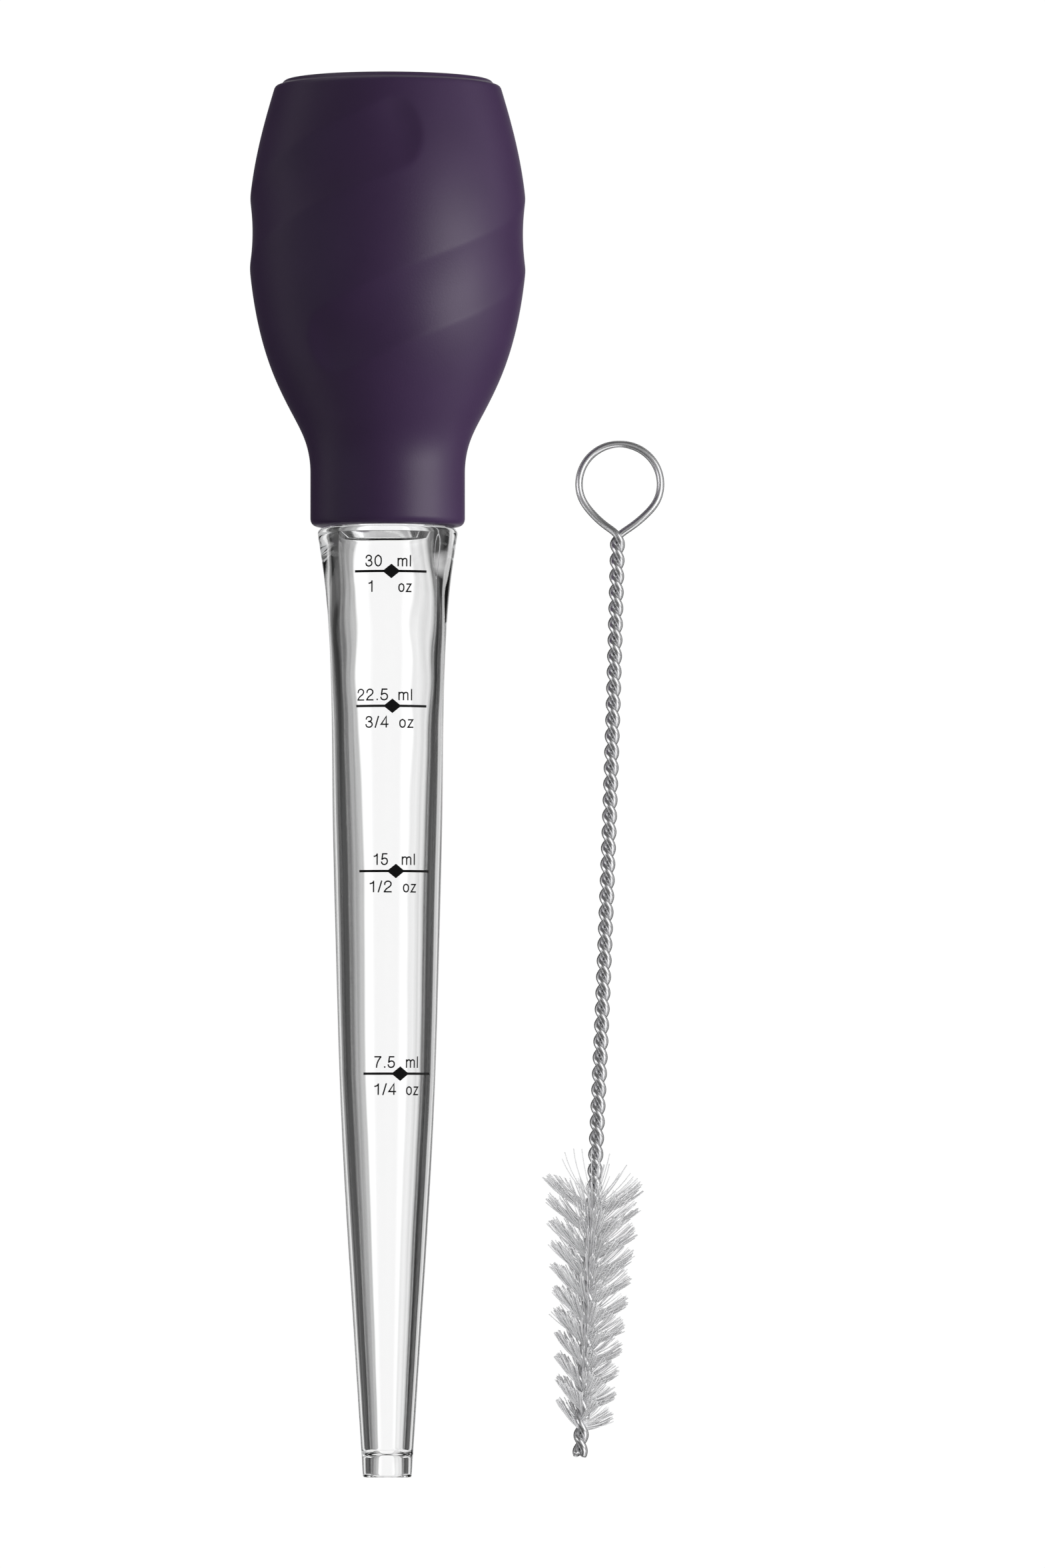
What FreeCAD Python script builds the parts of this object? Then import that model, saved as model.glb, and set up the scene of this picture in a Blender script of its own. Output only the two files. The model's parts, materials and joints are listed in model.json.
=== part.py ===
import FreeCAD, Part
import math
import os
from FreeCAD import Placement, Rotation, Vector

# Squeeze-bulb baster lying on a surface, with its twisted-wire cleaning brush beside it. Millimetres.
# +Z is up, +Y runs along the baster from its tip to its bulb, +X points at the brush.
# Baster frame: Y is the baster's axis, 0 at the tip, and Z faces up.
# Brush frame: Y is the rod's axis, 0 at the ring's centre, and the rod runs to -Y.

# Baster: driving dimensions
LENGTH = 280.0                # tip to flat end of the bulb
TIP_RADIUS = 4.9
TIP_BORE_RADIUS = 3.4
TIP_BORE_LENGTH = 4.6
SHOULDER_Y = 190.0            # the tube's shoulder, just under the collar
NECK_RADIUS = 11.7
NECK_TOP_Y = 205.1
BORE_RADIUS_AT_NECK = 9.95
COLLAR_Y = 190.3              # lower edge of the bulb's collar
COLLAR_RADIUS = 15.5
COLLAR_BORE_RADIUS = 11.75
BULB_RADIUS = 28.0            # at the widest ring
WIDEST_Y = 249.0
END_WALL = 2.4                # thickness of the bulb's flat end
COLLAR_TOP_Y = 201.0          # where the collar starts to swell into the bulb
COLLAR_CORNER = 1.5           # radius of the collar's lower edge

# Outline of the tube and of the bulb, as (distance from the tip, radius)
TIP_CORNER = 0.3              # radius of the tip's outer edge
TUBE_OUTLINE = [(TIP_CORNER, TIP_RADIUS), (25, 6.5), (50, 8.1), (80, 9.6), (105, 10.35), (132, 11.0),
                (158, 11.35), (170, 11.85), (180.5, 12.8), (188.8, 14.05)]
BULB_OUTLINE = [(COLLAR_TOP_Y, COLLAR_RADIUS), (207, 16.4), (213, 19.2), (221, 23.0), (237, 27.1),
                (WIDEST_Y, BULB_RADIUS), (257, 27.55), (269.3, 25.3), (278.1, 22.85)]
BULB_INSIDE = [(276, 20.9), (269.3, 22.9), (257, 25.15), (WIDEST_Y, 25.6), (237, 24.7), (221, 20.4),
               (213, 16.3), (208, 12.9), (205.4, 10.6)]

# Corners that round off the shoulder, the bulb's flat end and the inside of that end, as (radius, distance)
SHOULDER_CORNER = [(14.05, 188.8), (13.8, 189.65), (13.1, SHOULDER_Y)]
SIDE_CORNER = [(22.85, 278.1), (22.5, 278.7), (21.9, 278.95)]
END_CORNER = [(21.2, 279.3), (20.8, 279.8), (20.2, LENGTH)]
INSIDE_CORNER = [(19.4, LENGTH - END_WALL), (20.5, 277.1), (20.9, 276)]
NECK_CHAMFER = 0.8, 0.5       # along and across
BORE_STEP = 0.1               # where the tip's straight bore meets the tapered one

# Printed scale: millilitres, distance from the tip, bore radius there, and degrees right of the top line
SCALE = [("7_5ml", 80.6, 7.35, 16.0), ("15ml", 121.0, 8.02, 9.5), ("22_5ml", 153.95, 9.0, 5.5),
         ("30ml", 180.8, 9.86, 4.0)]
INK = 0.05
MARK_LINE_WIDTH = 0.48
MARK_HALF_ARC = 7.6           # half the line's length round the tube
DIAMOND_HALF_WIDTH = 1.8
DIAMOND_HALF_HEIGHT = 1.45

# Two spiral finger grooves, half a turn apart, sinking towards the collar
GROOVE_DEPTH = 0.85
GROOVE_CUTTER_RADIUS = 50.0
GROOVE_START_Y = 266.6        # where it crosses the top line
GROOVE_DROP_PER_DEGREE = 0.196
GROOVE_FROM, GROOVE_TO = -4.0, 206.0
GROOVE_STEPS = 14

# Oval stretch of the bulb's wall that the thumb pushes in
THUMB_Y = 246.0
THUMB_HALF_WIDTH = 12.5
THUMB_HALF_LENGTH = 17.0
THUMB_GAP = 0.3

# Brush
WIRE_RADIUS = 0.75
STRAND_OFFSET = 0.77          # from the rod's axis to the centre of each leg
RING_RADIUS = 8.25
CROSSING_Y = -10.9            # where the ring's two sides cross and the twist begins
RING_SHOULDER = 2.3, 1.95, 0.35   # a point where the wire flares from the crossing: sideways, along, up
HEAD_START_Y = -148.8
HEAD_END_Y = -192.3
WIRE_END_Y = -197.95
SHANK_HALF_PITCH = 3.2833
HEAD_HALF_PITCH = 4.35
TAIL_HALF_PITCH = 3.3
TUFTS = 11
TUFT_ROOT_RADIUS = 1.56
TUFT_THICKNESS = 1.3
FIRST_TUFT_TIP_Y, LAST_TUFT_TIP_Y = -142.9, -189.1
FIRST_TUFT_RADIUS, LAST_TUFT_RADIUS = 9.1, 5.3

# Where the two things lie
BASTER_X = -14.035
BRUSH_X_FROM_BASTER = 46.75
BRUSH_RING_ALONG = 201.4      # level of the ring's centre, from the baster's tip
BRUSH_SKEW = 2.39             # degrees, the ring end further from the baster


def spline(points, start=None, end=None):
    """Smooth curve through the points, with optional end directions."""
    curve = Part.BSplineCurve()
    if start and end:
        curve.interpolate(Points=points, InitialTangent=start, FinalTangent=end)
    else:
        curve.interpolate(points)
    return curve


def outline(points):
    return [Vector(radius, along, 0) for along, radius in points]


def path(*points):
    """Straight edges through (radius, along) points."""
    corners = [Vector(radius, along, 0) for radius, along in points]
    return [Part.makeLine(a, b) for a, b in zip(corners, corners[1:])]


def arc(points):
    return Part.Arc(*[Vector(radius, along, 0) for radius, along in points]).toShape()


def rounded(corner, size):
    """Quarter-round edge where a flat end at corner's level meets the side: (radius, along), size signed along."""
    radius, along = corner
    middle = size * (1 - math.sqrt(0.5))
    return arc([(radius - abs(size), along), (radius - abs(middle), along + middle), (radius, along + size)])


def revolve(edges):
    """Solid of revolution about Y from a closed outline."""
    face = Part.Face(Part.Wire(Part.__sortEdges__(edges)))
    return face.revolve(Vector(0, 0, 0), Vector(0, 1, 0), 360)


def radius_and_slope(curve, along):
    """Radius and unit tangent (radius part, along part) of an outline curve at a distance along the axis."""
    low, high = curve.FirstParameter, curve.LastParameter
    for _ in range(60):
        middle = (low + high) / 2
        if curve.value(middle).y < along:
            low = middle
        else:
            high = middle
    tangent = curve.tangent(low)[0]
    return curve.value(low).x, tangent


# Clear tube

tube_curve = spline(outline(TUBE_OUTLINE))


def clear_tube():
    bore = [(BORE_RADIUS_AT_NECK, NECK_TOP_Y)]
    bore += [(radius, along) for _, along, radius, _ in reversed(SCALE)]
    bore += [(TIP_BORE_RADIUS + BORE_STEP, TIP_BORE_LENGTH), (TIP_BORE_RADIUS, TIP_BORE_LENGTH),
             (TIP_BORE_RADIUS, 0)]
    along, across = NECK_CHAMFER
    edges = [tube_curve.toShape(), arc(SHOULDER_CORNER), rounded((TIP_RADIUS, 0), TIP_CORNER)]
    edges += path(SHOULDER_CORNER[-1], (NECK_RADIUS, SHOULDER_Y), (NECK_RADIUS, NECK_TOP_Y - along),
                  (NECK_RADIUS - across, NECK_TOP_Y), *bore, (TIP_RADIUS - TIP_CORNER, 0))
    return revolve(edges)


def scale_mark(along, azimuth):
    """Thin ink solid on the tube: a line part of the way round, with a diamond on its middle."""
    reach = DIAMOND_HALF_HEIGHT + MARK_LINE_WIDTH
    radius = radius_and_slope(tube_curve, along)[0]
    levels = [along - reach, along, along + reach]
    inner = [Vector(radius_and_slope(tube_curve, level)[0], level, 0) for level in levels]
    outer = [point + Vector(INK, 0, 0) for point in inner]
    skin = revolve([Part.makeLine(inner[0], inner[1]), Part.makeLine(inner[1], inner[2]),
                    Part.makeLine(inner[2], outer[2]), Part.makeLine(outer[2], outer[1]),
                    Part.makeLine(outer[1], outer[0]), Part.makeLine(outer[0], inner[0])])
    half_line = MARK_LINE_WIDTH / 2
    half_chord = radius * math.sin(MARK_HALF_ARC / radius)
    line = Part.makeBox(2 * half_chord, MARK_LINE_WIDTH, 2 * radius, Vector(-half_chord, along - half_line, 0))
    corners = [Vector(-DIAMOND_HALF_WIDTH, along, 0), Vector(0, along - DIAMOND_HALF_HEIGHT, 0),
               Vector(DIAMOND_HALF_WIDTH, along, 0), Vector(0, along + DIAMOND_HALF_HEIGHT, 0)]
    diamond = Part.Face(Part.makePolygon(corners + corners[:1])).extrude(Vector(0, 0, 2 * radius))
    mark = skin.common(line.fuse(diamond))
    mark.rotate(Vector(0, 0, 0), Vector(0, 1, 0), azimuth)
    return mark


# Squeeze bulb

bulb_curve = spline(outline(BULB_OUTLINE), Vector(0, 1, 0), Vector(-0.3, 1, 0))


def bulb_blank():
    """The hollow bulb before its grooves are cut."""
    inside_curve = spline(outline(BULB_INSIDE))
    inside_start, inside_radius = BULB_INSIDE[-1]
    edges = [bulb_curve.toShape(), inside_curve.toShape(), rounded((COLLAR_RADIUS, COLLAR_Y), COLLAR_CORNER),
             arc(SIDE_CORNER), arc(END_CORNER), arc(INSIDE_CORNER)]
    edges += path((COLLAR_RADIUS, COLLAR_Y + COLLAR_CORNER), (COLLAR_RADIUS, COLLAR_TOP_Y))
    edges += path(SIDE_CORNER[-1], END_CORNER[0])
    edges += path(END_CORNER[-1], (0, LENGTH), (0, LENGTH - END_WALL), INSIDE_CORNER[0])
    edges += path((inside_radius, inside_start), (COLLAR_BORE_RADIUS, inside_start),
                  (COLLAR_BORE_RADIUS, COLLAR_Y), (COLLAR_RADIUS - COLLAR_CORNER, COLLAR_Y))
    return revolve(edges)


def groove_centre(degrees):
    """Centre of the cutting ball that grooves the wall at an angle from the top line, towards -X."""
    along = GROOVE_START_Y - GROOVE_DROP_PER_DEGREE * degrees
    radius, tangent = radius_and_slope(bulb_curve, along)
    stand_off = GROOVE_CUTTER_RADIUS - GROOVE_DEPTH
    out = radius + tangent.y * stand_off
    turn = math.radians(degrees)
    return Vector(-out * math.sin(turn), along - tangent.x * stand_off, out * math.cos(turn))


def groove_cutter():
    """The space that the ball sweeps through from one end of a groove to the other."""
    step = (GROOVE_TO - GROOVE_FROM) / GROOVE_STEPS
    centres = [groove_centre(GROOVE_FROM + i * step) for i in range(GROOVE_STEPS + 1)]
    curve = spline(centres)
    start = curve.value(curve.FirstParameter)
    direction = curve.tangent(curve.FirstParameter)[0]
    ring = Part.Wire(Part.makeCircle(GROOVE_CUTTER_RADIUS, start, direction))
    sweep = Part.Wire(curve.toShape()).makePipeShell([ring], True, False)
    ends = [Part.makeSphere(GROOVE_CUTTER_RADIUS, centre) for centre in (centres[0], centres[-1])]
    return [sweep] + ends


def thumb_oval(grow):
    """Upright oval column over the stretch of wall that the thumb pushes in."""
    ellipse = Part.Ellipse(Vector(0, THUMB_Y, 0), THUMB_HALF_LENGTH + grow, THUMB_HALF_WIDTH + grow)
    shape = ellipse.toShape()
    shape.rotate(Vector(0, THUMB_Y, 0), Vector(0, 0, 1), 90)
    return Part.Face(Part.Wire(shape)).extrude(Vector(0, 0, 2 * BULB_RADIUS))


def bulb_parts():
    bulb = bulb_blank()
    for turn in (0, 180):
        for cutter in groove_cutter():
            cutter.rotate(Vector(0, 0, 0), Vector(0, 1, 0), turn)
            bulb = bulb.cut(cutter)
    thumb_wall = bulb.common(thumb_oval(0))
    return bulb.cut(thumb_oval(THUMB_GAP)), thumb_wall


# Brush

def wire_along(edges):
    """Round wire along a chain of edges."""
    start = edges[0].valueAt(edges[0].FirstParameter)
    direction = edges[0].tangentAt(edges[0].FirstParameter)
    section = Part.Wire(Part.makeCircle(WIRE_RADIUS, start, direction))
    return Part.Wire(edges).makePipeShell([section], True, True)


def twisted_leg(side):
    """One leg of the wire, wound left-handed down the rod from the crossing; side is 1 or -1."""
    edges = []
    top, turned = CROSSING_Y, 0.0
    for bottom, half_pitch in ((HEAD_START_Y, SHANK_HALF_PITCH), (HEAD_END_Y, HEAD_HALF_PITCH),
                               (WIRE_END_Y, TAIL_HALF_PITCH)):
        edge = Part.makeHelix(2 * half_pitch, top - bottom, STRAND_OFFSET, 0, True).Edges[0]
        edge.rotate(Vector(0, 0, 0), Vector(0, 0, 1), -turned)
        edge.translate(Vector(0, 0, -top))
        edges.append(edge)
        turned += 180 * (top - bottom) / half_pitch
        top = bottom
    leg = wire_along(edges)
    helix_axes_to_brush = FreeCAD.Matrix(0, -1, 0, 0, 0, 0, -1, 0, 1, 0, 0, 0, 0, 0, 0, 1)
    leg.Placement = Placement(helix_axes_to_brush)
    if side < 0:
        leg.rotate(Vector(0, 0, 0), Vector(0, 1, 0), 180)
    return leg


def finger_ring():
    """The ring, from one leg at the crossing round to the other."""
    half_gap = math.degrees(math.acos(RING_RADIUS / -CROSSING_Y))
    steps = 16
    turns = [270 - half_gap - (360 - 2 * half_gap) * i / steps for i in range(steps + 1)]
    circle = [Vector(RING_RADIUS * math.cos(math.radians(turn)), RING_RADIUS * math.sin(math.radians(turn)), 0)
              for turn in turns]
    across, along, up = RING_SHOULDER
    front = [Vector(0, CROSSING_Y, STRAND_OFFSET), Vector(-across, CROSSING_Y + along, up)]
    back = [Vector(across, CROSSING_Y + along, -up), Vector(0, CROSSING_Y, -STRAND_OFFSET)]
    sideways = STRAND_OFFSET * math.pi / SHANK_HALF_PITCH
    curve = spline(front + circle + back, Vector(-sideways, 1, 0), Vector(-sideways, -1, 0))
    return wire_along([curve.toShape()])


def tuft(number):
    """One layer of bristles: a thin cone round the rod, swept back at 45 degrees towards the ring."""
    share = number / (TUFTS - 1)
    radius = FIRST_TUFT_RADIUS + share * (LAST_TUFT_RADIUS - FIRST_TUFT_RADIUS)
    tip = FIRST_TUFT_TIP_Y + share * (LAST_TUFT_TIP_Y - FIRST_TUFT_TIP_Y)
    root = tip - (radius - TUFT_ROOT_RADIUS)
    across = TUFT_THICKNESS / math.sqrt(2)
    return revolve(path((TUFT_ROOT_RADIUS, root), (radius, tip), (radius - across, tip + across),
                        (TUFT_ROOT_RADIUS, root + 2 * across), (TUFT_ROOT_RADIUS, root)))


# Where the two things lie

def lie_angle():
    """Slope of the baster's axis when it rests on its tip and on the widest part of the bulb."""
    step = 0.1
    levels = [WIDEST_Y - step * i for i in range(120, -1, -1)]
    radii = [radius_and_slope(bulb_curve, level)[0] for level in levels]
    low, high = 0.0, math.radians(10)
    for _ in range(40):
        middle = (low + high) / 2
        sine, cosine = math.sin(middle), math.cos(middle)
        bulb_bottom = min(level * sine - radius * cosine for level, radius in zip(levels, radii))
        if bulb_bottom < TIP_CORNER * sine - TIP_RADIUS * cosine:
            low = middle
        else:
            high = middle
    return middle


def baster_place():
    angle = lie_angle()
    sine, cosine = math.sin(angle), math.cos(angle)
    back = LENGTH * cosine + END_CORNER[-1][0] * sine
    front = -(TIP_RADIUS - TIP_CORNER) * sine
    lift = TIP_RADIUS * cosine - TIP_CORNER * sine
    return Placement(Vector(BASTER_X, -(back + front) / 2, lift), Rotation(Vector(1, 0, 0), math.degrees(angle)))


def brush_place(tip):
    """The ring's far edge and the widest tuft both touch the surface."""
    reach = -FIRST_TUFT_TIP_Y + RING_RADIUS
    angle = math.asin((FIRST_TUFT_RADIUS - WIRE_RADIUS) / reach)
    lift = WIRE_RADIUS + RING_RADIUS * math.sin(angle)
    lean = Rotation(Vector(0, 0, 1), -BRUSH_SKEW).multiply(Rotation(Vector(1, 0, 0), -math.degrees(angle)))
    return Placement(Vector(BASTER_X + BRUSH_X_FROM_BASTER, tip.y + BRUSH_RING_ALONG, lift), lean)


def main():
    on_baster = baster_place()
    on_brush = brush_place(on_baster.Base)
    bulb, thumb_wall = bulb_parts()
    placed = {"clear_tube": (clear_tube(), on_baster), "squeeze_bulb": (bulb, on_baster),
              "bulb_thumb_wall": (thumb_wall, on_baster), "brush_finger_ring": (finger_ring(), on_brush),
              "brush_wire_leg_a": (twisted_leg(1), on_brush), "brush_wire_leg_b": (twisted_leg(-1), on_brush)}
    for name, along, _, azimuth in SCALE:
        placed["scale_mark_" + name] = (scale_mark(along, azimuth), on_baster)
    for number in range(TUFTS):
        placed[f"bristle_tuft_{number + 1:02d}"] = (tuft(number), on_brush)

    os.makedirs("parts", exist_ok=True)
    whole = FreeCAD.BoundBox()
    for node, (shape, place) in placed.items():
        shape.Placement = place.multiply(shape.Placement)
        shape.exportStep(f"parts/{node}.step")
        whole.add(shape.optimalBoundingBox(False))
        print(f"{node}: {len(shape.Solids)} solid, valid {shape.isValid()}, {shape.Volume:.1f} mm3")
    print("whole", whole)


main()
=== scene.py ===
"""A squeeze-bulb baster and its twisted-wire cleaning brush, lying on a pale surface. Metres.

Shapes are built in millimetres in two local frames and then placed:
the baster frame (x to the right, y along the axis from the tip, z up) and
the brush frame (y along the rod, 0 at the ring's centre, rod towards -y, z up).
"""
import json
import math
import random

import bpy
import numpy as np
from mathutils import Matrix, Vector, noise

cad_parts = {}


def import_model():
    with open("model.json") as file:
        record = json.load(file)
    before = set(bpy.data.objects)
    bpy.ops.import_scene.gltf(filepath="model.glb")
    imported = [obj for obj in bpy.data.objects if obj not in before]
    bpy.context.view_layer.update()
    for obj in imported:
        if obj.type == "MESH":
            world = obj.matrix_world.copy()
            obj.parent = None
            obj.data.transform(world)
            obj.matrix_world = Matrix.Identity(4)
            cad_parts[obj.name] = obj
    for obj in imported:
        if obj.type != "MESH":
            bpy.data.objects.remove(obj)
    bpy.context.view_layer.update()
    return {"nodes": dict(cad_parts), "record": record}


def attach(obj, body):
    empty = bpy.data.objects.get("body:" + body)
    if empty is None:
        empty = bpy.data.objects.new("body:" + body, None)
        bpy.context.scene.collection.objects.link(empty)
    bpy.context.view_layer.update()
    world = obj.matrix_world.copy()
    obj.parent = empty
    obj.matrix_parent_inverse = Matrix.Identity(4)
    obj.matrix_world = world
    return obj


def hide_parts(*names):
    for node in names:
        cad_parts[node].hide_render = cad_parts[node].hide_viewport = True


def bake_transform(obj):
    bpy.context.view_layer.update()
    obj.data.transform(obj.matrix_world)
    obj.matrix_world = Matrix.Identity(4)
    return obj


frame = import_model()

MM = 0.001

# Tube and bulb, millimetres along the axis from the tip, and radii
LENGTH = 280.0
TIP_RADIUS = 4.9
TIP_BORE_RADIUS = 3.4
TIP_BORE_LENGTH = 4.6
SHOULDER = 190.0
SHOULDER_EDGE = (188.8, 14.05)
SHOULDER_FACE_RADIUS = 13.1
NECK_RADIUS = 11.7
NECK_TOP = 205.1
NECK_BORE = 9.95
COLLAR = 190.3
COLLAR_RADIUS = 15.5
COLLAR_BORE = 11.75
LEDGE = 205.4                 # stops the tube's neck inside the bulb
BULB_RADIUS = 28.0
END_WALL = 2.4
TUBE_OUTLINE = [(0.3, TIP_RADIUS), (25, 6.5), (50, 8.1), (80, 9.6), (105, 10.35), (132, 11.0),
                (158, 11.35), (170, 11.85), (180.5, 12.8), SHOULDER_EDGE]
BULB_OUTLINE = [(201, COLLAR_RADIUS), (207, 16.4), (213, 19.2), (221, 23.0), (237, 27.1),
                (249, BULB_RADIUS), (257, 27.55), (269.3, 25.3), (278.1, 22.85)]
WALL_ENDS = {"start": (1, 0), "end": (1, -0.3)}     # directions of the outline's two ends
BULB_INSIDE = [(LEDGE, 10.6), (208, 12.9), (213, 16.3), (221, 20.4), (237, 24.7), (249, 25.6),
               (257, 25.15), (269.3, 22.9), (276, 20.9)]

# Finger grooves: a ball rolled along the wall, two starts half a turn apart
GROOVE_DEPTH = 0.85
GROOVE_BALL = 50.0
GROOVE_START = 266.6
GROOVE_DROP = 0.196           # millimetres per degree
GROOVE_ANGLES = (-4.0, 206.0)
GROOVE_EDGE = 0.05            # how softly a groove's edge is rounded
GROOVED = (205.0, 277.5)      # stations between which the wall may be pressed in

# Where a thumb squeezes: station, and two heights over the axis, which the bulb's code turns into points
# but does not use
SQUEEZE_STATION = 246.0
SQUEEZE_HEIGHTS = (15.6, BULB_RADIUS)

# Printed scale: station, bore radius there, degrees right of the top line
SCALE = [("7_5ml", 80.6, 7.35, 16.0), ("15ml", 121.0, 8.02, 9.5), ("22_5ml", 153.95, 9.0, 5.5),
         ("30ml", 180.8, 9.86, 4.0)]

# Brush
WIRE_RADIUS = 0.75
STRAND_OFFSET = 0.77
RING_RADIUS = 8.25
CROSSING = -10.9
HEAD_START = -148.8
HEAD_END = -192.3
WIRE_END = -197.95
SHANK_HALF_PITCH = 3.2833
HEAD_HALF_PITCH = 4.35
TAIL_HALF_PITCH = 3.3
WIDEST_AT = 142.9             # the widest bristle tips, down the rod from the ring's centre
WIDEST_RADIUS = 9.1
BRUSH_SKEW = 2.39             # degrees
ROD_BOW = 0.8                 # sideways, at the middle of the rod


# Placing

def mount(name):
    return next(m for m in frame["record"]["mounts"] if m["name"] == name)


class Place:
    """Turns local millimetres into the row frame's metres."""

    def __init__(self, origin, x, y, z):
        self.origin = np.array(origin)
        self.axes = np.array([x, y, z])

    def __call__(self, points):
        return self.origin + np.asarray(points, float) * MM @ self.axes


def baster_place():
    tip = mount("tip_bore")
    along = -np.array(tip["axis"])
    along /= np.linalg.norm(along)
    origin = np.array(tip["pos_m"]) - along * TIP_BORE_LENGTH / 2 * MM
    return Place(origin, (1, 0, 0), along, np.cross((1, 0, 0), along))


def brush_place():
    """The rod climbs from the ring to the widest bristles, which all rest on the surface."""
    lean = math.asin((WIDEST_RADIUS - WIRE_RADIUS) / (WIDEST_AT + RING_RADIUS))
    skew = math.radians(BRUSH_SKEW)
    side = np.array([math.cos(skew), -math.sin(skew), 0])
    level = np.array([math.sin(skew), math.cos(skew), 0])
    along = level * math.cos(lean) - np.array([0, 0, 1]) * math.sin(lean)
    return Place(mount("hanging_ring")["pos_m"], side, along, np.cross(side, along))


ON_BASTER = baster_place()
ON_BRUSH = brush_place()


# Curves and meshes

def smooth_line(points, step, start=None, end=None):
    """Cubic spline through the points, sampled every step; end directions are optional."""
    knots = np.array(points, float)
    gaps = np.linalg.norm(np.diff(knots, axis=0), axis=1)
    at = np.concatenate([[0], np.cumsum(gaps)])
    count = len(knots)
    system = np.zeros((count, count))
    right = np.zeros_like(knots)
    for i in range(1, count - 1):
        a, b = gaps[i - 1], gaps[i]
        system[i, i - 1:i + 2] = [b, 2 * (a + b), a]
        right[i] = 3 * (b * (knots[i] - knots[i - 1]) / a + a * (knots[i + 1] - knots[i]) / b)
    for row, near, gap, given in ((0, 1, gaps[0], start), (-1, -2, gaps[-1], end)):
        if given is None:
            system[row, row], system[row, near] = 2, 1
            right[row] = 3 * (knots[near] - knots[row]) / gap * (1 if row == 0 else -1)
        else:
            system[row, row] = 1
            right[row] = np.array(given) / np.linalg.norm(given)
    slopes = np.linalg.solve(system, right)
    samples = np.linspace(0, at[-1], max(2, int(at[-1] / step) + 1))
    span = np.clip(np.searchsorted(at, samples, "right") - 1, 0, count - 2)
    h = gaps[span][:, None]
    t = ((samples - at[span]) / gaps[span])[:, None]
    p0, p1, m0, m1 = knots[span], knots[span + 1], slopes[span], slopes[span + 1]
    return ((2 * t ** 3 - 3 * t ** 2 + 1) * p0 + (t ** 3 - 2 * t ** 2 + t) * h * m0
            + (-2 * t ** 3 + 3 * t ** 2) * p1 + (t ** 3 - t ** 2) * h * m1)


def line(a, b, step):
    count = max(2, int(math.dist(a, b) / step) + 1)
    return np.linspace(a, b, count)


def corner(a, middle, b, count=6):
    """Rounded corner from a to b, bulging towards middle."""
    t = np.linspace(0, 1, count)[:, None]
    a, middle, b = map(np.array, (a, middle, b))
    control = 2 * middle - (a + b) / 2
    return (1 - t) ** 2 * a + 2 * t * (1 - t) * control + t ** 2 * b


def joined(*runs):
    """One outline from runs that each start where the last one ended."""
    points = [np.asarray(runs[0], float)]
    points += [np.asarray(run, float)[1:] for run in runs[1:]]
    return np.vstack(points)


def make_object(name, points, faces, material, smooth=True):
    mesh = bpy.data.meshes.new(name)
    mesh.from_pydata(np.asarray(points).tolist(), [], faces)
    mesh.validate()
    mesh.update()
    mesh.polygons.foreach_set("use_smooth", [smooth] * len(mesh.polygons))
    mesh.materials.append(material)
    obj = bpy.data.objects.new(name, mesh)
    bpy.context.scene.collection.objects.link(obj)
    return obj


def ring_faces(rows, columns, closed):
    """Quads between rows of points that each go once round."""
    faces = []
    for i in range(rows if closed else rows - 1):
        a, b = i * columns, ((i + 1) % rows) * columns
        for j in range(columns):
            k = (j + 1) % columns
            faces.append((a + j, a + k, b + k, b + j))
    return faces


def turned(outline, columns):
    """Turns (along, radius) rows about the baster's axis, from the top towards -x."""
    angles = np.arange(columns) * 2 * math.pi / columns
    along = np.repeat(outline[:, :1], columns, axis=1)
    radius = np.repeat(outline[:, 1:], columns, axis=1)
    return along, radius, np.repeat(angles[None, :], len(outline), axis=0)


def round_to_xyz(along, radius, angle):
    return np.stack([-radius * np.sin(angle), along, radius * np.cos(angle)], axis=-1)


# Materials

def new_material(name):
    material = bpy.data.materials.new(name)
    material.use_nodes = True
    nodes = material.node_tree.nodes
    return material, nodes, material.node_tree.links, nodes["Principled BSDF"]


def set_values(shader, **values):
    for name, value in values.items():
        shader.inputs[name.replace("_", " ")].default_value = value


def add_noise(nodes, links, scale, detail, stretch=(1, 1, 1), coordinates="Object"):
    source = nodes.new("ShaderNodeTexCoord")
    mapping = nodes.new("ShaderNodeMapping")
    mapping.inputs["Scale"].default_value = stretch
    texture = nodes.new("ShaderNodeTexNoise")
    texture.inputs["Scale"].default_value = scale
    texture.inputs["Detail"].default_value = detail
    links.new(source.outputs[coordinates], mapping.inputs["Vector"])
    links.new(mapping.outputs["Vector"], texture.inputs["Vector"])
    return texture


def add_ramp(nodes, links, source, low, high, at=(0.3, 0.7)):
    ramp = nodes.new("ShaderNodeValToRGB")
    ramp.color_ramp.elements[0].position = at[0]
    ramp.color_ramp.elements[0].color = (*low, 1)
    ramp.color_ramp.elements[1].position = at[1]
    ramp.color_ramp.elements[1].color = (*high, 1)
    links.new(source, ramp.inputs["Fac"])
    return ramp.outputs["Color"]


def add_bump(nodes, links, shader, height, strength, distance):
    bump = nodes.new("ShaderNodeBump")
    bump.inputs["Strength"].default_value = strength
    bump.inputs["Distance"].default_value = distance
    links.new(height, bump.inputs["Height"])
    links.new(bump.outputs["Normal"], shader.inputs["Normal"])


def silicone():
    """Dark plum silicone with a powdery skin."""
    material, nodes, links, shader = new_material("plum_silicone")
    set_values(shader, Roughness=0.48, IOR=1.42, Specular_IOR_Level=0.5)
    mottle = add_noise(nodes, links, 90.0, 4.0)
    links.new(add_ramp(nodes, links, mottle.outputs["Fac"], (0.058, 0.028, 0.087), (0.064, 0.031, 0.095)),
              shader.inputs["Base Color"])
    grain = add_noise(nodes, links, 2600.0, 2.0)
    add_bump(nodes, links, shader, grain.outputs["Fac"], 0.25, 0.00006)
    return material


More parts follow.
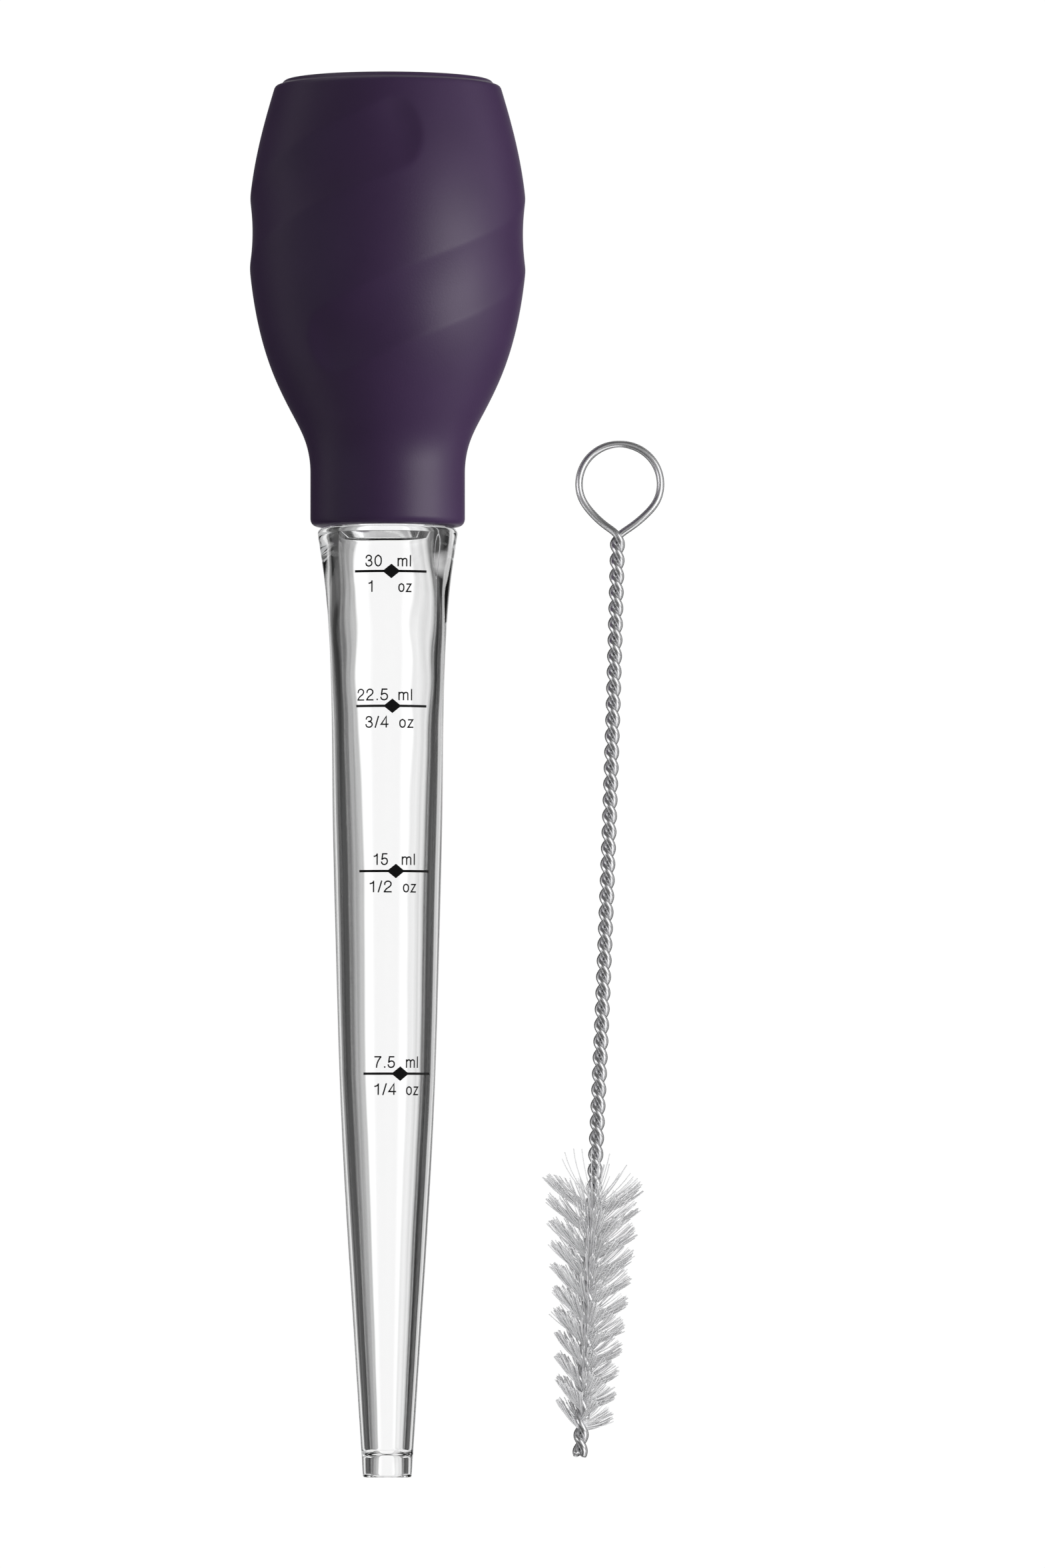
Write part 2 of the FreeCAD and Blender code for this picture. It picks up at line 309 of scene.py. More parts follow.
def clear_plastic():
    """Clear plastic that lets lamps through."""
    material, nodes, links, shader = new_material("clear_plastic")
    set_values(shader, Base_Color=(0.995, 0.995, 0.995, 1), Roughness=0.02, IOR=1.49,
               Transmission_Weight=1.0)
    passing = nodes.new("ShaderNodeBsdfTransparent")
    passing.inputs["Color"].default_value = (0.96, 0.965, 0.97, 1)
    path = nodes.new("ShaderNodeLightPath")
    mix = nodes.new("ShaderNodeMixShader")
    links.new(path.outputs["Is Shadow Ray"], mix.inputs["Fac"])
    links.new(shader.outputs["BSDF"], mix.inputs[1])
    links.new(passing.outputs["BSDF"], mix.inputs[2])
    links.new(mix.outputs["Shader"], nodes["Material Output"].inputs["Surface"])
    return material


def steel():
    """Bright drawn wire with faint lines along it."""
    material, nodes, links, shader = new_material("drawn_steel")
    set_values(shader, Metallic=1.0)
    drawn = add_noise(nodes, links, 1.0, 2.0, stretch=(0.2, 6, 1), coordinates="UV")
    links.new(add_ramp(nodes, links, drawn.outputs["Fac"], (0.7, 0.7, 0.71), (0.8, 0.8, 0.81)),
              shader.inputs["Base Color"])
    links.new(add_ramp(nodes, links, drawn.outputs["Fac"], (0.31, 0.31, 0.31), (0.25, 0.25, 0.25)),
              shader.inputs["Roughness"])
    return material


def nylon():
    """Pale translucent filament, a little different from one to the next."""
    material, nodes, links, shader = new_material("nylon_filament")
    set_values(shader, Roughness=0.35, IOR=1.5, Transmission_Weight=0.15)
    which = nodes.new("ShaderNodeNewGeometry")
    shade = add_ramp(nodes, links, which.outputs["Random Per Island"], (0.8, 0.8, 0.81), (0.96, 0.96, 0.97),
                     at=(0, 1))
    links.new(shade, shader.inputs["Base Color"])
    return material


def ink():
    """Black print with a slight gloss and tiny pinholes of tone."""
    material, nodes, links, shader = new_material("black_ink")
    set_values(shader, Roughness=0.5)
    tone = add_noise(nodes, links, 3000.0, 2.0)
    links.new(add_ramp(nodes, links, tone.outputs["Fac"], (0.012, 0.012, 0.013), (0.03, 0.03, 0.032)),
              shader.inputs["Base Color"])
    return material


def pale_floor():
    """Even white light with nothing reflected."""
    material, _, _, shader = new_material("pale_floor")
    set_values(shader, Base_Color=(0, 0, 0, 1), Roughness=0.9, Emission_Color=(1, 1, 1, 1),
               Emission_Strength=FLOOR_GLOW, Specular_IOR_Level=0.1)
    return material


# Squeeze bulb

def bulb_outside():
    """Outline from the middle of the flat end, over the wall, to the collar's lower edge."""
    wall = smooth_line(BULB_OUTLINE, 0.42, **WALL_ENDS)[::-1]
    edge = 1.5
    return joined(line((LENGTH, 0), (LENGTH, 20.2), 1.2),
                  corner((LENGTH, 20.2), (279.8, 20.8), (279.3, 21.2)),
                  line((279.3, 21.2), (278.95, 21.9), 0.25),
                  corner((278.95, 21.9), (278.7, 22.5), BULB_OUTLINE[-1]),
                  wall,
                  line(BULB_OUTLINE[0], (COLLAR + edge, COLLAR_RADIUS), 0.5),
                  corner((COLLAR + edge, COLLAR_RADIUS), (COLLAR + 0.44, COLLAR_RADIUS - 0.44),
                         (COLLAR, COLLAR_RADIUS - edge), 8),
                  line((COLLAR, COLLAR_RADIUS - edge), (COLLAR, COLLAR_BORE), 0.8))


def bulb_inside():
    """Outline from the collar's lower edge, up the bore and inner wall, to the middle of the end."""
    end = LENGTH - END_WALL
    return joined(line((COLLAR, COLLAR_BORE), (LEDGE, COLLAR_BORE), 2.0),
                  line((LEDGE, COLLAR_BORE), BULB_INSIDE[0], 0.6),
                  smooth_line(BULB_INSIDE, 1.2),
                  corner(BULB_INSIDE[-1], (277.1, 20.5), (end, 19.4), 4),
                  line((end, 19.4), (end, 0), 3.0))


def groove_centres():
    """Centres of the ball that presses the first groove into the wall."""
    wall = smooth_line(BULB_OUTLINE, 0.1, **WALL_ENDS)
    slope = np.gradient(wall, axis=0)
    slope /= np.linalg.norm(slope, axis=1)[:, None]
    degrees = np.linspace(*GROOVE_ANGLES, 240)
    station = GROOVE_START - GROOVE_DROP * degrees
    radius = np.interp(station, wall[:, 0], wall[:, 1])
    run = np.interp(station, wall[:, 0], slope[:, 0])
    rise = np.interp(station, wall[:, 0], slope[:, 1])
    stand_off = GROOVE_BALL - GROOVE_DEPTH
    return round_to_xyz(station - rise * stand_off, radius + run * stand_off, np.radians(degrees))


def press_grooves(points, outward):
    """Moves the points that the ball reaches straight in, with a slightly rounded edge."""
    first = groove_centres()
    sunk = np.zeros(len(points))
    for centres in (first, first * (-1, 1, -1)):
        for start in range(0, len(points), 4000):
            some = points[start:start + 4000]
            nearest = np.sqrt(((some[:, None] - centres[None]) ** 2).sum(-1).min(1))
            bite = GROOVE_EDGE * np.logaddexp(0, (GROOVE_BALL - nearest) / GROOVE_EDGE)
            sunk[start:start + 4000] = np.maximum(sunk[start:start + 4000], bite)
    return points - outward * sunk[:, None]


def squeeze_bulb():
    columns = 240
    outside, inside = bulb_outside(), bulb_inside()
    whole = joined(outside, inside)
    along, radius, angle = turned(whole[1:-1], columns)
    points = round_to_xyz(along, radius, angle)
    slope = np.gradient(whole, axis=0)[1:-1]
    slope /= np.linalg.norm(slope, axis=1)[:, None]
    outward = round_to_xyz(np.repeat(slope[:, 1:], columns, 1), np.repeat(-slope[:, :1], columns, 1), angle)
    station = whole[1:-1, 0]
    is_outside = np.arange(len(station)) < len(outside) - 2
    wall = (station > GROOVED[0]) & (station < GROOVED[1]) & is_outside
    shaped = press_grooves(points[wall].reshape(-1, 3), outward[wall].reshape(-1, 3))
    points[wall] = shaped.reshape(-1, columns, 3)
    points = points.reshape(-1, 3)
    rows = len(whole) - 2
    ends = [(0, LENGTH, 0), (0, LENGTH - END_WALL, 0)]
    top, bottom = rows * columns, rows * columns + 1
    faces = ring_faces(rows, columns, False)
    last = (rows - 1) * columns
    for j in range(columns):
        k = (j + 1) % columns
        faces.append((top, k, j))
        faces.append((bottom, last + j, last + k))
    bulb = make_object("bulb_skin", ON_BASTER(np.vstack([points, ends])), faces, silicone())
    start, end = ON_BASTER([(0, SQUEEZE_STATION, height) for height in SQUEEZE_HEIGHTS])
    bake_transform(bulb)
    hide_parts("squeeze_bulb", "bulb_thumb_wall")
    return bulb


# Clear tube

WAVE_SIZES = [(145, 0.02), (170, 0.32), (192, 0.32), (200, 0.02)]       # station, millimetres
WAVE_STRETCH = 11.0           # millimetres along the bore for each radian round it


def bore_waves(along, angle):
    """Small unevenness of the bore, strongest near the shoulder, as a moulding core leaves it."""
    waves = np.zeros(along.shape)
    for index in np.ndindex(along.shape):
        a, s = angle[index], along[index]
        at = Vector((math.cos(a), math.sin(a), s / WAVE_STRETCH))
        waves[index] = noise.noise(at)
    return waves * np.interp(along, *zip(*WAVE_SIZES))


def clear_tube():
    columns = 192
    outside = joined(corner((0, TIP_RADIUS - 0.3), (0.09, TIP_RADIUS - 0.09), (0.3, TIP_RADIUS)),
                     smooth_line(TUBE_OUTLINE, 1.3),
                     corner(SHOULDER_EDGE, (189.65, 13.8), (SHOULDER, SHOULDER_FACE_RADIUS), 8),
                     line((SHOULDER, SHOULDER_FACE_RADIUS), (SHOULDER, NECK_RADIUS), 0.5),
                     line((SHOULDER, NECK_RADIUS), (NECK_TOP - 0.8, NECK_RADIUS), 1.5),
                     line((NECK_TOP - 0.8, NECK_RADIUS), (NECK_TOP, NECK_RADIUS - 0.5), 0.6))
    stations = [(NECK_TOP, NECK_BORE)] + [(along, radius) for _, along, radius, _ in reversed(SCALE)]
    stations += [(TIP_BORE_LENGTH, TIP_BORE_RADIUS + 0.1)]
    bore = joined(*[line(a, b, 1.3) for a, b in zip(stations, stations[1:])])
    inside = joined(line((NECK_TOP, NECK_RADIUS - 0.5), (NECK_TOP, NECK_BORE), 0.6), bore,
                    line((TIP_BORE_LENGTH, TIP_BORE_RADIUS + 0.1), (TIP_BORE_LENGTH, TIP_BORE_RADIUS), 1),
                    line((TIP_BORE_LENGTH, TIP_BORE_RADIUS), (0, TIP_BORE_RADIUS), 0.8),
                    line((0, TIP_BORE_RADIUS), (0, TIP_RADIUS - 0.3), 0.4))
    whole = joined(outside, inside)[:-1]
    along, radius, angle = turned(whole, columns)
    in_bore = slice(len(outside) + 2, len(outside) + 2 + len(bore) - 4)
    radius[in_bore] += bore_waves(along[in_bore], angle[in_bore])
    points = round_to_xyz(along, radius, angle).reshape(-1, 3)
    faces = [face[::-1] for face in ring_faces(len(whole), columns, True)]
    tube = make_object("tube_wall", ON_BASTER(points), faces, clear_plastic())
    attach(tube, "tube")
    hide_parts("clear_tube")
    return tube


# Printed numbers

# Words beside each mark: text, width, its middle's distance right of the diamond, its foot's above the line
WORDS = {
    "7_5ml": [("7.5", 4.2, -3.2, 1.25), ("ml", 2.8, 2.55, 1.25),
              ("1/4", 4.5, -3.0, -4.15), ("oz", 2.9, 2.7, -4.15)],
    "15ml": [("15", 2.95, -3.05, 1.3), ("ml", 2.85, 2.6, 1.3),
             ("1/2", 4.6, -3.05, -4.15), ("oz", 2.9, 2.9, -4.15)],
    "22_5ml": [("22.5", 6.5, -4.1, 1.2), ("ml", 2.9, 2.65, 1.2),
               ("3/4", 4.8, -3.1, -4.25), ("oz", 3.05, 2.9, -4.25)],
    "30ml": [("30", 3.4, -3.6, 1.0), ("ml", 2.8, 2.6, 1.0),
             ("1", 0.9, -4.2, -4.05), ("oz", 2.8, 2.8, -4.05)]}
CAP_HEIGHT = 2.12
STROKE = 0.28
INK_LIFT = 0.04

# Characters as strokes in capital heights; "curve" strokes are smoothed through their points
GLYPHS = {
    "0": [("curve", (0.27, 1), (0.1, 0.86), (0.03, 0.5), (0.1, 0.14), (0.27, 0), (0.44, 0.14), (0.51, 0.5),
           (0.44, 0.86), (0.27, 1))],
    "1": [("line", (0.33, 1), (0.33, 0)),
          ("curve", (0.06, 0.77), (0.22, 0.82), (0.33, 0.96))],
    "2": [("curve", (0.04, 0.68), (0.09, 0.9), (0.27, 1), (0.45, 0.91), (0.5, 0.72), (0.4, 0.5),
           (0.16, 0.27), (0.03, 0.02)),
          ("line", (0.0, 0), (0.52, 0))],
    "3": [("curve", (0.05, 0.75), (0.1, 0.92), (0.26, 1), (0.42, 0.92), (0.47, 0.76), (0.4, 0.6),
           (0.22, 0.53)),
          ("curve", (0.22, 0.53), (0.42, 0.47), (0.51, 0.28), (0.44, 0.08), (0.26, 0), (0.09, 0.08),
           (0.03, 0.27))],
    "4": [("line", (0.39, 0), (0.39, 1), (0.02, 0.27), (0.53, 0.27))],
    "5": [("line", (0.48, 1), (0.12, 1), (0.06, 0.48)),
          ("curve", (0.06, 0.48), (0.27, 0.6), (0.44, 0.53), (0.51, 0.32), (0.44, 0.09), (0.25, 0),
           (0.09, 0.07), (0.02, 0.25))],
    "7": [("line", (0.02, 1), (0.52, 1)),
          ("curve", (0.52, 0.98), (0.35, 0.7), (0.22, 0.35), (0.17, 0))],
    ".": [("line", (0.1, 0), (0.1, 0.07))],
    "/": [("line", (0.0, -0.02), (0.24, 1.02))],
    "m": [("line", (0.04, 0), (0.04, 0.72)),
          ("curve", (0.04, 0.5), (0.13, 0.67), (0.25, 0.71), (0.35, 0.64), (0.37, 0.5)),
          ("line", (0.37, 0.5), (0.37, 0)),
          ("curve", (0.37, 0.5), (0.46, 0.67), (0.58, 0.71), (0.68, 0.64), (0.7, 0.5)),
          ("line", (0.7, 0.5), (0.7, 0))],
    "l": [("line", (0.05, 0), (0.05, 1))],
    "o": [("curve", (0.25, 0.72), (0.08, 0.62), (0.02, 0.36), (0.08, 0.1), (0.25, 0), (0.42, 0.1),
           (0.48, 0.36), (0.42, 0.62), (0.25, 0.72))],
    "z": [("line", (0.02, 0.7), (0.43, 0.7), (0.0, 0.0), (0.45, 0.0))]}
ADVANCE = {".": 0.36, "/": 0.42, "m": 0.94, "l": 0.2, "1": 0.68}


def word_strokes(text, width):
    """Strokes of a word as lines of points, centred and fitted to its width."""
    strokes, pen = [], 0.0
    for character in text:
        for kind, *points in GLYPHS[character]:
            points = smooth_line(points, 0.05) if kind == "curve" else np.array(points)
            strokes.append((points + (pen, 0)) * CAP_HEIGHT)
        pen += ADVANCE.get(character, 0.74)
    left = min(stroke[:, 0].min() for stroke in strokes)
    right = max(stroke[:, 0].max() for stroke in strokes)
    stretch = (width - STROKE) / (right - left)
    return [(stroke - (left, 0)) * (stretch, 1) - ((width - STROKE) / 2, 0) for stroke in strokes]


def ribbon(stroke):
    """Left and right edges of an inked stroke with mitred corners."""
    steps = np.diff(stroke, axis=0)
    steps /= np.linalg.norm(steps, axis=1)[:, None]
    before = np.vstack([steps[:1], steps])
    after = np.vstack([steps, steps[-1:]])
    sides = np.stack([-(before + after)[:, 1], (before + after)[:, 0]], axis=1)
    sides /= np.linalg.norm(sides, axis=1)[:, None]
    cosine = np.abs(-before[:, 1] * sides[:, 0] + before[:, 0] * sides[:, 1])
    sides *= STROKE / 2 / np.maximum(cosine, 0.45)[:, None]
    ends = stroke.copy()
    ends[0] -= steps[0] * STROKE * 0.3
    ends[-1] += steps[-1] * STROKE * 0.3
    return ends + sides, ends - sides


def printed_numbers(material):
    outline = smooth_line(TUBE_OUTLINE, 0.5)
    points, faces = [], []
    for name, station, _, azimuth in SCALE:
        for text, width, right, up in WORDS[name]:
            for stroke in word_strokes(text, width):
                base = len(points)
                for edge in ribbon(stroke):
                    for x, y in edge:
                        along = station + up + y
                        radius = np.interp(along, outline[:, 0], outline[:, 1])
                        angle = math.radians(azimuth) + (right + x) / radius
                        out = radius + INK_LIFT
                        points.append((out * math.sin(angle), along, out * math.cos(angle)))
                count = len(stroke)
                faces += [(base + i, base + count + i, base + count + i + 1, base + i + 1)
                          for i in range(count - 1)]
    words = make_object("printed_numbers", ON_BASTER(points), faces, material, smooth=False)
    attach(words, "tube")


# Brush

END_BEVEL = 0.84              # radius of a swept tube's end face, as a share of the tube's


def twist(along):
    """Radians turned from the crossing down to a place on the rod."""
    turn, top = 0.0, CROSSING
    for bottom, half_pitch in ((HEAD_START, SHANK_HALF_PITCH), (HEAD_END, HEAD_HALF_PITCH),
                               (WIRE_END, TAIL_HALF_PITCH)):
        turn += math.pi * (top - max(along, bottom)) / half_pitch
        top = bottom
        if along >= bottom:
            break
    return turn


def bow(along):
    """Sideways bend of the rod, none at the crossing and at the wire's end."""
    t = (along - CROSSING) / (WIRE_END - CROSSING)
    return ROD_BOW * 4 * t * (1 - t) if 0 < t < 1 else 0.0


def leg_point(along, side):
    angle = twist(along)
    return np.array([side * STRAND_OFFSET * math.sin(angle) + bow(along), along,
                     side * STRAND_OFFSET * math.cos(angle)])


def wire_path():
    """Centreline of the one wire: up one leg, round the ring and down the other leg."""
    levels = np.arange(WIRE_END, CROSSING, 0.24)
    up = [leg_point(level, 1) for level in levels]
    half_gap = math.acos(RING_RADIUS / -CROSSING)
    turns = np.linspace(1.5 * math.pi - half_gap, half_gap - 0.5 * math.pi, 11)
    circle = [(RING_RADIUS * math.cos(turn), RING_RADIUS * math.sin(turn), 0) for turn in turns]
    front = [(0, CROSSING, STRAND_OFFSET), (-2.3, CROSSING + 1.95, 0.35)]
    back = [(2.3, CROSSING + 1.95, -0.35), (0, CROSSING, -STRAND_OFFSET)]
    sideways = STRAND_OFFSET * math.pi / SHANK_HALF_PITCH
    ring = smooth_line(front + circle + back, 0.3, start=(-sideways, 1, 0), end=(-sideways, -1, 0))
    down = [leg_point(level, -1) for level in levels[::-1]]
    return np.vstack([up, ring, down])


def swept(path, radius, columns):
    """Round tube along a path, with bevelled flat ends and UVs that run along it."""
    tangent = np.gradient(path, axis=0)
    tangent /= np.linalg.norm(tangent, axis=1)[:, None]
    side = np.cross(tangent[0], (0, 0, 1))
    rings = []
    for i, along in enumerate(tangent):
        side = side - along * side.dot(along)
        side /= np.linalg.norm(side)
        up = np.cross(along, side)
        turn = np.arange(columns) * 2 * math.pi / columns
        rings.append(path[i] + radius * (np.outer(np.cos(turn), side) + np.outer(np.sin(turn), up)))
    for end, inner in ((0, 1), (-1, -2)):
        centre = path[end]
        face = centre + (rings[end] - centre) * END_BEVEL
        away = path[end] - path[inner]
        shift = away / np.linalg.norm(away) * radius * (1 - END_BEVEL)
        if end == 0:
            rings = [face + shift] + rings
        else:
            rings = rings + [face + shift]
    points = np.vstack(rings)
    faces = ring_faces(len(rings), columns, False)
    last = (len(rings) - 1) * columns
    faces.append(tuple(range(columns))[::-1])
    faces.append(tuple(last + j for j in range(columns)))
    return points, faces, len(rings)


def add_wire_uv(obj, rows, columns, spacing):
    """UVs in turns round the wire and millimetres along it."""
    layer = obj.data.uv_layers.new(name="along")
    for polygon in obj.data.polygons:
        corners = list(polygon.loop_indices)
        ids = [obj.data.loops[i].vertex_index for i in corners]
        wraps = {i % columns for i in ids} >= {0, columns - 1}
        for loop, vertex in zip(corners, ids):
            row, column = divmod(vertex, columns)
            across = 1.0 if wraps and column == 0 else column / columns
            layer.data[loop].uv = (row * spacing, across)


def brush_wire():
    columns = 32
    path = wire_path()
    points, faces, rows = swept(path, WIRE_RADIUS, columns)
    wire = make_object("brush_wire", ON_BRUSH(points), faces, steel())
    add_wire_uv(wire, rows, columns, 0.3)
    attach(wire, "brush")
    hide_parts("brush_finger_ring", "brush_wire_leg_a", "brush_wire_leg_b")
    return wire


FILAMENT_RADIUS = 0.085
FILAMENTS_PER_MM = 17.0
LOOSE_FROM = -146.2           # the first filaments stand loose, above the first full tuft
LOOSE_TO = -148.0
FIRST_LENGTH = 11.35          # of a filament in the first tuft
LENGTH_LOSS = 4.6             # from the first tuft to the last
SIDE_LENGTH = 0.35            # filaments are this much shorter to the right, and longer to the left
LEAN = 33.5                   # degrees that filaments are swept back towards the ring
SIDE_LEAN = (1.5, 11.3)       # degrees less to the right, more to the left: first tuft, added by the last
TUFT_NODES = [node for node in frame["nodes"] if node.startswith("bristle_tuft")]


def filament(rng, root, side):
    """Centre points of one nylon filament, from between the legs out to its tip, swept back to the ring."""
    share = min(1.0, max(0.0, (HEAD_START - root) / (HEAD_START - HEAD_END)))
    loose = max(0.0, min(1.0, (root - LOOSE_TO) / (LOOSE_FROM - LOOSE_TO)))
    azimuth = twist(root) + math.pi / 2 + side * math.pi + rng.gauss(0, 0.13 + 0.25 * loose)
    to_right = math.sin(azimuth)
    length = (FIRST_LENGTH - LENGTH_LOSS * share - SIDE_LENGTH * to_right) * rng.uniform(0.95, 1.03)
    lean = LEAN - (SIDE_LEAN[0] + SIDE_LEAN[1] * share) * to_right
    lean += rng.gauss(0, 2.6 + 10 * loose) + 22 * loose
    bend = rng.gauss(13, 3)
    drift = rng.gauss(0, 0.03)
    radius, rise, steps = 0.15, 0.0, 6
    points = []
    for i in range(steps + 1):
        t = i / steps
        angle = azimuth + drift * t
        points.append((radius * math.sin(angle) + bow(root), root + rise, radius * math.cos(angle)))
        slope = math.radians(lean + bend * (2 * t - 0.83))
        radius += length / steps * math.cos(slope)
        rise += length / steps * math.sin(slope)
    return np.array(points)


def resting(points):
    """The brush points, with those that would be under the surface lifted onto it."""
    height = ON_BRUSH(points)[:, 2] / MM
    lift = np.maximum(0, FILAMENT_RADIUS - height) / ON_BRUSH.axes[2, 2]
    return points + np.outer(lift, (0, 0, 1))


def bristles():
    rng = random.Random(11)
    columns = 4
    points, faces, base = [], [], 0
    root = LOOSE_FROM
    while root > HEAD_END - 0.9:
        for side in (0, 1):
            if root > LOOSE_TO and rng.random() < 0.6:
                continue
            tube, tube_faces, _ = swept(resting(filament(rng, root, side)), FILAMENT_RADIUS, columns)
            points.append(tube)
            faces += [tuple(base + i for i in face) for face in tube_faces]
            base += len(tube)
        root -= rng.uniform(0.5, 1.5) / FILAMENTS_PER_MM
    hair = make_object("brush_bristles", ON_BRUSH(np.vstack(points)), faces, nylon())
    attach(hair, "brush")
    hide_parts(*TUFT_NODES)
    return hair


# Room, lamps and camera

CAMERA_DISTANCE = 2.4
CAMERA_ELEVATION = 82.8       # degrees
VIEW_HEIGHT = 314.2           # millimetres across the picture's longer side
VIEW_CENTRE = (27.05, 138.7, 0)     # in the baster frame
SENSOR = 36.0                 # camera sensor, millimetres
FLOOR_REACH = 15.0            # metres from the middle to each side
FLOOR_GLOW = 1.02


def floor():
    """Glowing white surface that only the camera sees, so what it gives off lights nothing."""
    corners = [(-FLOOR_REACH, -FLOOR_REACH, 0), (FLOOR_REACH, -FLOOR_REACH, 0),
               (FLOOR_REACH, FLOOR_REACH, 0), (-FLOOR_REACH, FLOOR_REACH, 0)]
    ground = make_object("floor", corners, [(0, 1, 2, 3)], pale_floor(), smooth=False)
    ground.visible_transmission = False
    ground.visible_diffuse = False
    ground.visible_glossy = False
    ground.visible_shadow = False


def area_lamp(name, position, size, power, colour):
    """Rectangular lamp that faces the middle of the scene."""
    light = bpy.data.lights.new(name, "AREA")
    light.shape = "RECTANGLE"
    light.size, light.size_y = size
    light.energy = power
    light.color = colour
    lamp = bpy.data.objects.new(name, light)
    lamp.location = position
    lamp.rotation_euler = (-Vector(position)).to_track_quat("-Z", "Y").to_euler()
    bpy.context.scene.collection.objects.link(lamp)
    return lamp


WHITE = (1, 1, 1)
COOL = (0.75, 0.85, 1)

# Softboxes aimed at the middle: name, piece that it lights, place and size in metres, watts, colour
LAMPS = [("softbox_right", "bulb", (0.85, 0.0, 0.55), (0.3, 0.9), 7.7, WHITE),
         ("bulb_left", "bulb", (-0.8, 0.0, 0.6), (0.5, 0.9), 0.55, COOL),
         ("bulb_back", "bulb", (-0.45, 1.05, 0.0), (0.6, 0.6), 1.2, WHITE),
         ("tube_left", "tube", (-0.85, 0.0, 0.45), (0.5, 0.9), 0.8, WHITE),
         ("tube_right", "tube", (0.8, -0.2, 0.35), (1.1, 0.7), 1.4, WHITE),
         ("wire_right", "wire", (0.75, 0.15, 0.75), (1.2, 0.9), 5.2, WHITE),
         ("wire_left", "wire", (-0.8, 0.2, 0.6), (0.4, 0.6), 1.4, WHITE),
         ("wire_front", "wire", (0.45, -0.85, 0.6), (1.0, 0.6), 2.6, WHITE),
         ("wire_top", "wire", (0.0, 0.1, 1.4), (0.9, 0.9), 0.8, WHITE),
         ("hair_top", "hair", (-0.3, 0.0, 1.1), (0.9, 0.9), 13.0, WHITE),
         ("hair_right", "hair", (0.8, -0.1, 0.4), (0.6, 0.9), 4.0, WHITE)]


def lamps(pieces):
    """Softboxes, each lighting and shaded by one piece only."""
    for name, piece, position, size, power, colour in LAMPS:
        lamp = area_lamp(name, position, size, power, colour)
        only = bpy.data.collections.new(name)
        only.objects.link(pieces[piece])
        lamp.light_linking.receiver_collection = only
        lamp.light_linking.blocker_collection = only


# Brightness of the room by its angle from straight down, in degrees, positive to the right
ROOM_BELOW = [(-90, 0.9), (-74, 0.7), (-66, 0.045), (-26, 0.03), (-21, 0.12), (-18, 0.3),
              (-13, 0.28), (-11.5, 0.42), (-9, 0.42), (-8, 1.07), (5, 1.07), (6, 0.72), (9, 0.82),
              (13, 0.66), (16, 0.8), (20, 0.6), (23, 0.3), (26, 0.035), (64, 0.03), (69, 0.5),
              (74, 0.9), (90, 0.9)]
ROOM_ABOVE = 0.12
ROOM_ENDS = 0.85              # towards +y and -y, seen through the clear tube
ENDS_FROM = (0.33, 0.43)      # a direction's y, where the sides stop and where an end starts


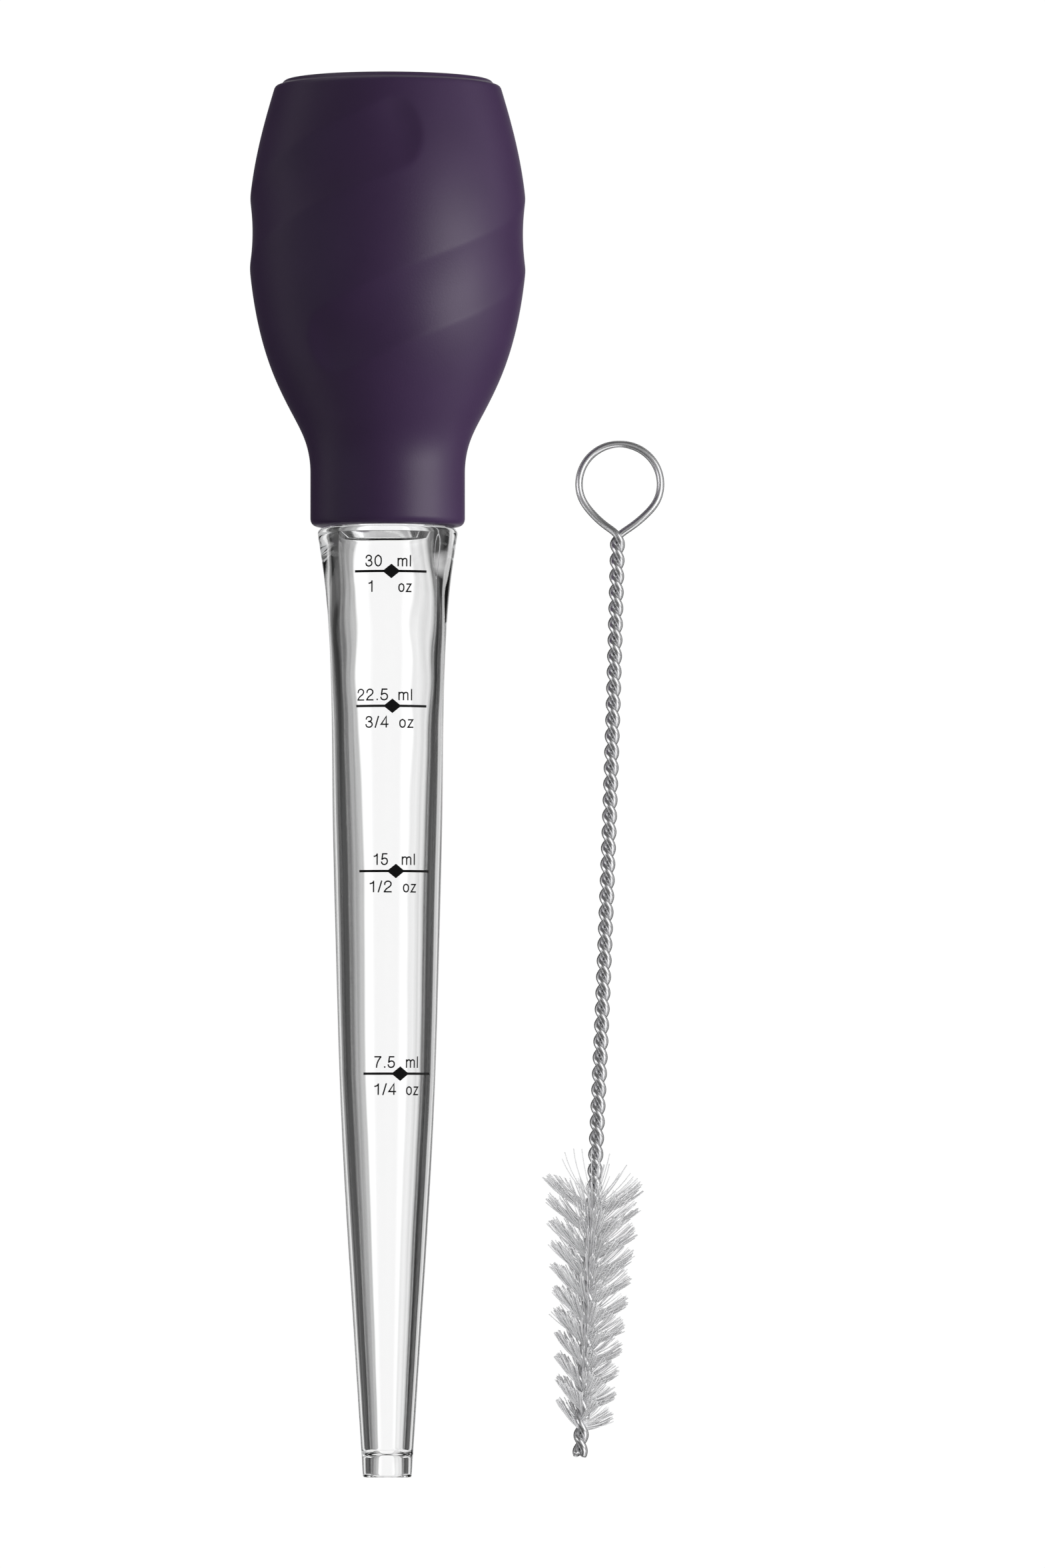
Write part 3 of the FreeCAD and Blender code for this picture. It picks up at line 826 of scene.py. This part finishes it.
def world():
    """Dim room over the table, a light panel with dark sides under it, and bright ends in the tube."""
    sky = bpy.data.worlds.new("studio")
    sky.use_nodes = True
    nodes, links = sky.node_tree.nodes, sky.node_tree.links

    def calculate(operation, *values):
        node = nodes.new("ShaderNodeMath")
        node.operation = operation
        for slot, value in zip(node.inputs, values):
            if isinstance(value, (int, float)):
                slot.default_value = value
            else:
                links.new(value, slot)
        return node.outputs[0]

    source = nodes.new("ShaderNodeTexCoord")
    split = nodes.new("ShaderNodeSeparateXYZ")
    links.new(source.outputs["Generated"], split.inputs[0])
    below = calculate("MAXIMUM", calculate("MULTIPLY", split.outputs["Z"], -1), 0.001)
    angle = calculate("ARCTAN2", split.outputs["X"], below)
    ramp = nodes.new("ShaderNodeValToRGB")
    links.new(calculate("MULTIPLY_ADD", angle, 1 / math.pi, 0.5), ramp.inputs["Fac"])
    stops = ramp.color_ramp.elements
    while len(stops) < len(ROOM_BELOW):
        stops.new(0.5)
    for stop, (degrees, level) in zip(stops, ROOM_BELOW):
        stop.position = degrees / 180 + 0.5
        stop.color = (level, level, level, 1)

    def blend_in(colour, level, factor):
        mix = nodes.new("ShaderNodeMix")
        mix.data_type = "RGBA"
        links.new(factor, mix.inputs["Factor"])
        links.new(colour, mix.inputs["A"])
        mix.inputs["B"].default_value = (level, level, level, 1)
        return mix.outputs["Result"]

    ends = nodes.new("ShaderNodeMapRange")
    links.new(calculate("ABSOLUTE", split.outputs["Y"]), ends.inputs["Value"])
    ends.inputs["From Min"].default_value, ends.inputs["From Max"].default_value = ENDS_FROM
    through = nodes.new("ShaderNodeLightPath").outputs["Is Transmission Ray"]
    seen_ends = calculate("MULTIPLY", ends.outputs["Result"], through)
    below_colour = blend_in(ramp.outputs["Color"], ROOM_ENDS, seen_ends)
    whole = blend_in(below_colour, ROOM_ABOVE, calculate("GREATER_THAN", split.outputs["Z"], 0))
    links.new(whole, nodes["Background"].inputs["Color"])
    bpy.context.scene.world = sky


def camera():
    target = Vector(ON_BASTER([VIEW_CENTRE])[0])
    elevation = math.radians(CAMERA_ELEVATION)
    back = Vector((0, -math.cos(elevation), math.sin(elevation)))
    data = bpy.data.cameras.new("camera")
    data.sensor_width = SENSOR
    data.lens = SENSOR * CAMERA_DISTANCE / (VIEW_HEIGHT * MM)
    data.clip_end = 20
    view = bpy.data.objects.new("camera", data)
    view.location = target + back * CAMERA_DISTANCE
    view.rotation_euler = (-back).to_track_quat("-Z", "Y").to_euler()
    bpy.context.scene.collection.objects.link(view)
    bpy.context.scene.camera = view


def main():
    bpy.context.scene.view_settings.view_transform = "Standard"
    camera()
    world()
    floor()
    bulb = squeeze_bulb()
    tube = clear_tube()
    black = ink()
    for name, *_ in SCALE:
        frame["nodes"]["scale_mark_" + name].data.materials[0] = black
    printed_numbers(black)
    lamps({"bulb": bulb, "tube": tube, "wire": brush_wire(), "hair": bristles()})


main()
